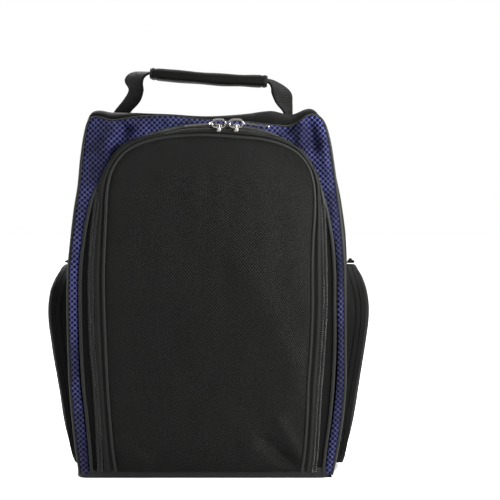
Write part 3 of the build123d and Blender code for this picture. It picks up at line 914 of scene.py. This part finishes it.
def between(line_a, line_b, share, lift):
    """Curve between two lines on the front, lifted out. share and lift may change along it."""
    part = share if callable(share) else lambda v: share
    rise = lift if callable(lift) else lambda v: lift

    def curve(v):
        p = mix(line_a(v), line_b(v), part(v))
        return Vector((p.x, FRONT - rise(v), p.y))

    return curve


def zip_side(reach, lift):
    """Curve beside the zip's middle line, reach outwards and lifted out, sunk where the lid laps over it."""

    def curve(v):
        p = zip_line(v) + outward(zip_line, v) * reach
        return Vector((p.x, FRONT - lift + 1.8 * zip_hidden(v), p.y))

    return curve


def zip_teeth(name, side, phase):
    return row_piece(
        name, zip_side(side * 1.5, 1.7), lambda t: (0, -1, 0),
        lambda t: zip_side(4, 0)(t) - zip_side(-4, 0)(t),
        bag_size("tooth_spacing"), MAIN_TOOTH, "zip_coil", phase,
    )


def front_stitches(name, curve, body, ends=(0.0, 1.0)):
    """A row of stitches on the front."""
    row = row_piece(
        name, curve, lambda t: (0, -1, 0), lambda t: outward_3d(curve, t),
        bag_size("stitch_spacing"), STITCH, "thread",
        ends=ends,
    )
    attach(row, body)
    return row


def outward_3d(curve, t):
    ahead = curve(min(t + 0.003, 1.0)) - curve(max(t - 0.003, 0.0))
    return Vector((-ahead.z, 0, ahead.x))


def blend_lid(*pieces):
    """Bake the lid's pieces in place. The lid is sewn to the body along its bottom edge."""
    for piece in pieces:
        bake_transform(piece)


class SHOEBAG_OT_front(bpy.types.Operator):
    """Make the mesh frame, its binding and the body's half of the main zip"""

    bl_idname = "shoebag.front"
    bl_label = "Front frame"

    def execute(self, context):
        yoke = sheet_piece("mesh_yoke", 18, 420, yoke_point, "purple_mesh", bag_size("cloth"))
        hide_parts("front_yoke")
        binding = cord_piece(
            "mesh_binding", between(mesh_edge, zip_line, 0.22, lambda v: mix(1.0, -0.6, zip_hidden(v))), 3.0,
            lambda v: mix(CORD, 1.4, zip_hidden(v)), "binding",
        )
        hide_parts("yoke_binding")
        tape = sheet_piece("main_zip_tape_outer", 4, 360, self.tape_point, "zip_tape", bag_size("tape"))
        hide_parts("main_zip_tape_frame")
        teeth = zip_teeth("main_zip_teeth_outer", 1, 0.0)
        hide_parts("main_zip_coil_frame")
        front_stitches(
            "mesh_edge_stitches", between(mesh_edge, zip_line, 0.30, lambda v: 2.4 - 2.0 * zip_hidden(v)),
            "bag",
        )
        ride_all("bag", yoke, binding, tape, teeth)
        return {"FINISHED"}

    @staticmethod
    def tape_point(u, v):
        low = between(mesh_edge, zip_line, 0.2, lambda v: -0.4 - 1.4 * zip_hidden(v))(v)
        return mix(low, zip_side(0.4, 0.0)(v), u)


# Soft creases in the lid: two ends, half width and height
LID_CREASES = (
    (Vector((56, 38)), Vector((84, 14)), 7.0, -4.2),
    (Vector((70, 56)), Vector((90, 24)), 6.0, 2.6),
    (Vector((4, 72)), Vector((50, 26)), 13.0, 2.2),
    (Vector((-88, 34)), Vector((-62, 14)), 9.0, 2.4),
    (Vector((40, 200)), Vector((92, 96)), 16.0, 1.8),
    (Vector((-36, 130)), Vector((26, 44)), 14.0, -1.8),
)


def lid_point_on(patch):
    """Point function of the padded lid: low at its sewn edge, crowned in the middle, with soft creases."""

    def place(u, v):
        p = patch(u, v)
        a, b = abs(2 * u - 1), abs(2 * v - 1)
        rim = (1 - a**16) * (1 - b**24)
        pad = (1 - a**2.4) * (1 - b**4)
        crease = soft_noise((p.x, 0, p.y), 75.0, 1.6) + soft_noise((p.x * 1.6, 9, p.y * 0.6), 30.0, 0.5)
        for height, part in ridges(p, LID_CREASES):
            crease += height
        lift = 2.2 + 1.6 * rim + 2.8 * pad + crease * rim
        return Vector((p.x, FRONT - lift, p.y))

    return place


class SHOEBAG_OT_lid(bpy.types.Operator):
    """Make the padded lid, its lining, piping and half of the main zip"""

    bl_idname = "shoebag.lid"
    bl_label = "Lid"

    def execute(self, context):
        panel = sheet_piece(
            "lid_cloth_panel", 90, 130, lid_point_on(
                outline_patch(inset_line(lid_cord, 0.6)),
            ), "lid_cloth", bag_size("cloth"), None,
        )
        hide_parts("lid_panel", "lid_foam")
        lining_patch = outline_patch(inset_line(zip_line, 4.0))
        lining = sheet_piece(
            "lid_lining_cloth", 40, 60, lambda u, v: self.lining_point(lining_patch(u, v)),
            "lining", bag_size("lining"),
        )
        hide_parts("lid_lining")
        piping = cord_piece("lid_edge_piping", between(lid_cord, lid_cord, 0, 3.0), 3.0, 3.0, "binding", 420)
        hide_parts("lid_piping")
        strip = sheet_piece("lid_zip_facing", 14, 420, self.strip_point, "strip_cloth", 1.0)
        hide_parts("lid_zip_strip")
        tape = sheet_piece("main_zip_tape_inner", 4, 360, self.tape_point, "zip_tape", bag_size("tape"))
        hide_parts("main_zip_tape_lid")
        teeth = zip_teeth("main_zip_teeth_inner", -1, 0.5)
        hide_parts("main_zip_coil_lid")
        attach(teeth, "lid")
        front_stitches(
            "lid_edge_stitches", between(zip_line, lid_cord, 0.62, 2.0), "lid", ends=(0.004, 0.996),
        )
        blend_lid(panel, lining, piping, strip, tape)
        return {"FINISHED"}

    @staticmethod
    def lining_point(p):
        return Vector((p.x, FRONT + 2.4 + wrinkles((p.x, 20, p.y), 0.8), p.y))

    @staticmethod
    def tape_point(u, v):
        high = between(zip_line, lid_cord, 0.6, 0.2)(v)
        return mix(zip_side(-0.4, 0.0)(v), high, u)

    @staticmethod
    def strip_point(u, v):
        hidden = zip_hidden(v)
        share = mix(mix(0.26, -0.02, hidden), 0.94, u)
        crown = 2.0 * bump(u, 0.36, 0.26) + 0.9 * bump(u, 0.02, 0.1)
        lift = mix(0.5, 1.2, hidden) + crown
        p = mix(zip_line(v), lid_cord(v), share) + outward(zip_line, v) * 1.2 * hidden * (1 - u)
        return Vector((p.x, FRONT - lift, p.y))


# ---------------------------------------------------------------- side pockets

# D outline of a pocket seen from the side, as Y and Z, from the low end of its hinge edge to the high end
POCKET_EDGE = [
    Vector(point)
    for point in (
        (38, 4), (14, 4), (-10, 5), (-32, 11), (-46.5, 27), (-52, 52), (-52, 77), (-52, 102),
        (-52, 127), (-51, 151), (-45, 174), (-32, 192), (-13, 203), (11, 206), (38, 206),
    )
]
# Where the outline leaves its low edge and reaches its high edge, with t from 0 to 1
POCKET_LOW_T = 3 / 14
POCKET_HIGH_T = 10.6 / 14
# How far the pocket stands out of the side wall, as height and distance
SWELL = ((4, 5), (45, 10.4), (86, 13), (127, 16.9), (168, 19.8), (209, 13.5))
pocket_line = tabulated(POCKET_EDGE, 1200)
swell_line = tabulated(SWELL, 400)


def pocket_swell(z):
    return swell_line((z - SWELL[0][0]) / (SWELL[-1][0] - SWELL[0][0])).y


def zip_rise(z):
    """How far the pocket's zip stands out of the side wall at a height."""
    return max(3.9, pocket_swell(z) - 7.4)


def pocket_edge(t, grow=0.0):
    """Point of the D outline, moved outwards by grow, and the outward direction."""
    ahead = pocket_line(t + 0.01) - pocket_line(t - 0.01)
    out = Vector((ahead.y, -ahead.x)).normalized()
    return pocket_line(t) + out * grow, out


def pocket_point(side, y, z, rise):
    return Vector((side * (half_width(z) + rise), y, z))


def edge_point(side, t, rise_of, grow):
    """Point beside the D outline. rise_of gives its distance from the wall at a height."""
    p, out = pocket_edge(t, grow)
    tuck = mix(0.1, 1.0, smooth(38 - p.x, 0, mix(22, 7, smooth(p.y, 60, 150))))
    return pocket_point(side, p.x, p.y, rise_of(p.y) * tuck)


POCKET_PATCH = coons(
    lambda a: pocket_line(a * POCKET_LOW_T),
    lambda a: pocket_line(mix(1, POCKET_HIGH_T, a)),
    lambda b: mix(POCKET_EDGE[0], POCKET_EDGE[-1], b),
    lambda b: pocket_line(mix(POCKET_LOW_T, POCKET_HIGH_T, b)),
)


def skin_point(side, u, v):
    """Point of the pocket's outer cloth: u from the hinge edge to the front, v from the bottom to the top."""
    p = POCKET_PATCH(u, v)
    rim = zip_rise(p.y) + 4.6
    inner = min((1 - u) * 84, v * 190, (1 - v) * 190)
    full = pocket_swell(p.y) + 0.6 + wrinkles((side * 40, p.x, p.y), 1.5) * smooth(inner, 4, 24)
    rise = mix(rim, full, smooth(inner, -1, 11)) * mix(0.04, 1.0, math.sqrt(smooth(u * 90, 0, 26)))
    return pocket_point(side, p.x, p.y, rise)


class SHOEBAG_OT_pockets(bpy.types.Operator):
    """Make the two zipped side pockets"""

    bl_idname = "shoebag.pockets"
    bl_label = "Side pockets"

    def execute(self, context):
        for name, side in (("left", -1), ("right", 1)):
            self.make_pocket(name, side)
        return {"FINISHED"}

    def make_pocket(self, name, side):
        def strip(part, low, high, grow, material, thickness):
            def place(u, v):
                return edge_point(side, v, lambda z: mix(low(z), high(z), u), grow(u))

            return sheet_piece(f"{name}_pocket_{part}", 6, 150, place, material, thickness)

        def teeth(part, offset, phase):
            def curve(t):
                return edge_point(side, mix(0.02, 0.98, t), lambda z: zip_rise(z) + offset, 1.7)

            def front(t):
                normal = pocket_edge(mix(0.02, 0.98, t))[1]
                return (0, normal.x, normal.y)

            return row_piece(
                f"{name}_pocket_teeth_{part}", curve, front, lambda t: (1, 0, 0),
                bag_size("tooth_spacing"), POCKET_TOOTH,
                "zip_coil", phase,
            )

        gusset = strip(
            "gusset_cloth", lambda z: -3, lambda z: zip_rise(z) - 3.6, lambda u: 0.9 * u, "black_cloth",
            1.2,
        )
        fixed = strip(
            "tape_inner", lambda z: zip_rise(z) - 5, lambda z: zip_rise(z) - 0.2, lambda u: 0.1,
            "zip_tape", bag_size("tape"),
        )
        moving = strip(
            "tape_outer", lambda z: zip_rise(z) + 0.2, lambda z: zip_rise(z) + 5, lambda u: 0.1,
            "zip_tape", bag_size("tape"),
        )
        inner_teeth = teeth("inner", -0.95, 0.0)
        outer_teeth = teeth("outer", 0.95, 0.5)
        skin = sheet_piece(
            f"{name}_pocket_skin", 40, 90, lambda u, v: skin_point(side, u, v),
            "black_cloth", bag_size("cloth"),
        )
        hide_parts(f"{name}_pocket_gusset")
        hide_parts(f"{name}_pocket_tape_fixed")
        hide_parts(f"{name}_pocket_tape_flap")
        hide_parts(f"{name}_pocket_coil_fixed")
        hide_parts(f"{name}_pocket_coil_flap")
        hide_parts(f"{name}_pocket_panel")
        ride_all("bag", gusset, fixed, inner_teeth)
        ride_all(f"{name}_pocket", moving, outer_teeth)
        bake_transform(skin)


# ---------------------------------------------------------------- handle

HANDLE_Y = (corner("grip_sleeve", 0).y + corner("grip_sleeve", 1).y) / 2
GRIP_FROM = Vector((-59, HANDLE_Y, 401.7))
GRIP_TO = Vector((59, HANDLE_Y, 393.7))
# The two edges of the webbing, from inside the grip down to where it is sewn in
LEFT_STRAP = (
    ((-50, -26.5, 401), (-60, -27, 400.8), (-65, -27.3, 397), (-66.5, -27, 391), (-66, -25, 384),
     (-69.5, -22, 373.5), (-79.5, -18, 362), (-82, -17, 354)),
    ((-50, -3.5, 401.8), (-66, -4, 403.6), (-79, -6, 402.5), (-85, -9, 395.5), (-80.8, -12, 385.5),
     (-85.5, -13, 376), (-96.5, -14, 362), (-99, -14, 354)),
)
RIGHT_STRAP = (
    ((50, -26.5, 393), (60, -27, 392), (63, -27.5, 388), (63.8, -27.5, 381.5), (68, -27, 372),
     (75.5, -26.5, 362.5), (77, -26.5, 353)),
    ((50, -3.5, 394.5), (60, -3.5, 396.5), (74, -4, 390.5), (83, -7, 382), (84, -6.5, 372),
     (84, -5, 362), (84, -4.5, 353)),
)


class SHOEBAG_OT_handle(bpy.types.Operator):
    """Make the webbing handle with its padded grip"""

    bl_idname = "shoebag.handle"
    bl_label = "Handle"

    def execute(self, context):
        left = self.strap("handle_webbing_left", LEFT_STRAP)
        right = self.strap("handle_webbing_right", RIGHT_STRAP)
        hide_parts("handle_webbing", "left_handle_anchor")
        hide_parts("right_handle_anchor")
        grip = tube_piece("grip_cover", 40, 110, self.grip_point, "grip_cloth")
        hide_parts("grip_sleeve", "grip_foam")
        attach(grip, "handle")
        for strap in (left, right):
            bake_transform(strap)
        return {"FINISHED"}

    @staticmethod
    def strap(name, edges):
        one, other = (tabulated(edge, 300) for edge in edges)

        def place(u, v):
            across = other(v) - one(v)
            face = across.cross(one(v + 0.02) - one(v - 0.02)).normalized()
            return mix(one(v), other(v), u) + face * 0.5 * math.sin(math.pi * u)

        return sheet_piece(name, 14, 90, place, "webbing", bag_size("webbing"))

    @staticmethod
    def grip_point(u, v):
        ahead = (GRIP_TO - GRIP_FROM).normalized()
        centre = GRIP_FROM + (GRIP_TO - GRIP_FROM) * v
        end = 1 - 0.14 * bump(v, 0, 0.012) - 0.14 * bump(v, 1, 0.012)
        stitch = 1 - 0.10 * bump(v, 0.045, 0.009) - 0.10 * bump(v, 0.955, 0.009)
        angle = 2 * math.pi * u
        c, s = math.cos(angle), math.sin(angle)
        width = math.copysign(abs(c) ** 0.62, c) * 15.2 * end
        height = math.copysign(abs(s) ** 0.62, s) * 6.1 * end * stitch
        puff = 1 + soft_noise((centre.x, width, height), 22.0, 0.13)
        up = Vector((-ahead.z, 0, ahead.x))
        sag = -1.2 * math.sin(math.pi * v)
        return centre + Vector((0, width, 0)) + up * (height * puff + sag)


# ---------------------------------------------------------------- metal


def show_cad(name, material):
    """Keep a CAD node and give it a better material."""
    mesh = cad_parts[name].data
    mesh.materials.clear()
    mesh.materials.append(MATERIALS[material])


def rounded_block(bm, centre, size, edge):
    """Add a box with rounded edges."""
    place = Matrix.Translation(Vector(centre) * MM) @ Matrix.Diagonal((*(s * MM for s in size), 1))
    verts = bmesh.ops.create_cube(bm, size=1.0, matrix=place)["verts"]
    edges = {e for v in verts for e in v.link_edges}
    bmesh.ops.bevel(
        bm, geom=list(edges), offset=edge * MM, segments=3, profile=0.5, affect="EDGES", material=-1,
    )


class SHOEBAG_OT_metal(bpy.types.Operator):
    """Finish the sliders and pulls"""

    bl_idname = "shoebag.metal"
    bl_label = "Sliders and pulls"

    def execute(self, context):
        for side in ("left", "right"):
            self.make_slider(side)
            for part in ("pull_ring", "pull_tab"):
                show_cad(f"{side}_{part}", "nickel")
            for part in ("pocket_slider", "pocket_pull"):
                show_cad(f"{side}_{part}", "black_metal")
        return {"FINISHED"}

    @staticmethod
    def make_slider(side):
        """A slider: a small waisted plate with a loop that holds the ring."""
        low, high = corner(f"{side}_main_slider", 0), corner(f"{side}_main_slider", 1)
        x = (low.x + high.x) / 2
        z = (low.z + high.z) / 2
        face = low.y + 3.6
        bm = bmesh.new()
        rounded_block(bm, (x, face + 0.7, z + 0.8), (6.2, 1.3, 3.8), 0.6)
        rounded_block(bm, (x, face + 0.7, z - 2.4), (4.0, 1.3, 3.8), 0.6)
        rounded_block(bm, (x, face - 1.5, z - 2.2), (2.4, 3.8, 2.0), 0.8)
        rounded_block(bm, (x, face - 1.5, z + 2.3), (2.2, 3.4, 1.6), 0.7)
        rounded_block(bm, (x, face - 2.9, z + 0.1), (2.0, 1.1, 5.2), 0.5)
        piece = new_piece(f"{side}_slider_body", bm, "nickel")
        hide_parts(f"{side}_main_slider")
        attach(piece, f"{side}_zip_slider")


# ---------------------------------------------------------------- stage


# Name, place, width and power of each lamp
LIGHTS = (
    ("key", (0.38, -0.30, 0.42), 0.2, 4.6),
    ("left", (-1.2, 0.1, 0.6), 0.6, 14.0),
    ("right", (1.2, 0.3, 0.7), 0.6, 12.0),
    ("back", (-0.5, 1.2, 0.9), 0.7, 18.0),
)
FLOOR_GLOW = 0.35
VIEW_WIDTH = 0.500
VIEW_MIDDLE = (0.0415, -0.04, 0.2245)
VIEW_TILT = 2.8


class SHOEBAG_OT_stage(bpy.types.Operator):
    """Make the pale floor, the soft lights and the camera"""

    bl_idname = "shoebag.stage"
    bl_label = "Stage"

    def execute(self, context):
        self.make_floor()
        for light in LIGHTS:
            self.make_light(*light)
        self.make_sun()
        self.make_world()
        self.make_camera()
        return {"FINISHED"}

    @staticmethod
    def make_floor():
        """A pale floor that looks as white as the room behind it."""
        bm = bmesh.new()
        bmesh.ops.create_grid(bm, x_segments=1, y_segments=1, size=6.0)
        mesh = bpy.data.meshes.new("floor")
        bm.to_mesh(mesh)
        bm.free()
        material = bpy.data.materials.new("pale_floor")
        material.use_nodes = True
        shader = material.node_tree.nodes["Principled BSDF"]
        shader.inputs["Base Color"].default_value = (0.86, 0.86, 0.86, 1)
        shader.inputs["Roughness"].default_value = 0.9
        shader.inputs["Emission Color"].default_value = (1, 1, 1, 1)
        seen = material.node_tree.nodes.new("ShaderNodeLightPath").outputs["Is Camera Ray"]
        glow = calculate(material.node_tree, "MULTIPLY", seen, FLOOR_GLOW)
        material.node_tree.links.new(glow, shader.inputs["Emission Strength"])
        mesh.materials.append(material)
        floor = bpy.data.objects.new("floor", mesh)
        bpy.context.scene.collection.objects.link(floor)

    @staticmethod
    def make_light(name, place, size, power):
        light = bpy.data.lights.new(name, "AREA")
        light.size = size
        light.energy = power
        lamp = bpy.data.objects.new(name, light)
        lamp.visible_camera = False
        lamp.location = place
        aim = Vector((0, 0, 0.2)) - Vector(place)
        lamp.rotation_euler = aim.to_track_quat("-Z", "Y").to_euler()
        bpy.context.scene.collection.objects.link(lamp)

    @staticmethod
    def make_sun():
        """Wide light from above and behind, which keeps the floor pale to its far edge."""
        light = bpy.data.lights.new("overhead", "SUN")
        light.energy = 2.9
        light.angle = math.radians(70)
        lamp = bpy.data.objects.new("overhead", light)
        lamp.rotation_euler = (math.radians(-18), math.radians(8), 0)
        bpy.context.scene.collection.objects.link(lamp)

    @staticmethod
    def make_world():
        """White at the horizon and grey overhead, so that gloss has something to show."""
        world = bpy.data.worlds.new("studio")
        world.use_nodes = True
        tree = world.node_tree
        ray = tree.nodes.new("ShaderNodeTexCoord").outputs["Generated"]
        height = node(tree, "ShaderNodeSeparateXYZ", {0: ray}).outputs["Z"]
        share = node(
            tree, "ShaderNodeMapRange", {0: height, 1: 0.1, 2: 0.6, 3: 0.3, 4: 0.15},
            interpolation_type="SMOOTHSTEP",
        )
        seen = tree.nodes.new("ShaderNodeLightPath").outputs["Is Camera Ray"]
        strength = node(tree, "ShaderNodeMix", {0: seen, 2: share.outputs[0], 3: 1.0})
        tree.links.new(strength.outputs[0], tree.nodes["Background"].inputs["Strength"])
        tree.nodes["Background"].inputs["Color"].default_value = (1, 1, 1, 1)
        bpy.context.scene.world = world
        bpy.context.scene.view_settings.view_transform = "Standard"

    @staticmethod
    def make_camera():
        """A long lens in front of the bag, a little above it."""
        lens = bpy.data.cameras.new("camera")
        lens.lens = 110
        camera = bpy.data.objects.new("camera", lens)
        target = Vector(VIEW_MIDDLE)
        distance = VIEW_WIDTH * lens.lens / lens.sensor_width
        tilt = math.radians(VIEW_TILT)
        back = Vector((0, -math.cos(tilt), math.sin(tilt)))
        camera.location = target + back * distance
        camera.rotation_euler = (-back).to_track_quat("-Z", "Y").to_euler()
        bpy.context.scene.collection.objects.link(camera)
        bpy.context.scene.camera = camera


# ---------------------------------------------------------------- add-on

STEPS = (
    SHOEBAG_OT_materials,
    SHOEBAG_OT_shell,
    SHOEBAG_OT_inside,
    SHOEBAG_OT_front,
    SHOEBAG_OT_lid,
    SHOEBAG_OT_pockets,
    SHOEBAG_OT_handle,
    SHOEBAG_OT_metal,
    SHOEBAG_OT_stage,
)


class SHOEBAG_PT_panel(bpy.types.Panel):
    """Lists the steps that make the shoe bag"""

    bl_label = "Shoe Bag"
    bl_idname = "SHOEBAG_PT_panel"
    bl_space_type = "VIEW_3D"
    bl_region_type = "UI"
    bl_category = "Shoe Bag"

    def draw(self, context):
        column = self.layout.column(align=True)
        for field in ("cloth", "mesh_thread", "mesh_hole", "trim", "metal"):
            column.prop(context.scene.shoe_bag_colours, field)
        for field in ("cloth", "lining", "tape", "webbing", "tooth_spacing", "stitch_spacing"):
            column.prop(context.scene.shoe_bag_sizes, field)
        for step in STEPS:
            column.operator(step.bl_idname)


CLASSES = (ShoeBagSizes, ShoeBagColours, *STEPS, SHOEBAG_PT_panel)


def register():
    for kind in CLASSES:
        bpy.utils.register_class(kind)
    bpy.types.Scene.shoe_bag_sizes = PointerProperty(type=ShoeBagSizes)
    bpy.types.Scene.shoe_bag_colours = PointerProperty(type=ShoeBagColours)


def unregister():
    del bpy.types.Scene.shoe_bag_colours
    del bpy.types.Scene.shoe_bag_sizes
    for kind in reversed(CLASSES):
        bpy.utils.unregister_class(kind)


def main():
    register()
    for step in STEPS:
        group, operation = step.bl_idname.split(".")
        getattr(getattr(bpy.ops, group), operation)()


if __name__ == "__main__":
    main()
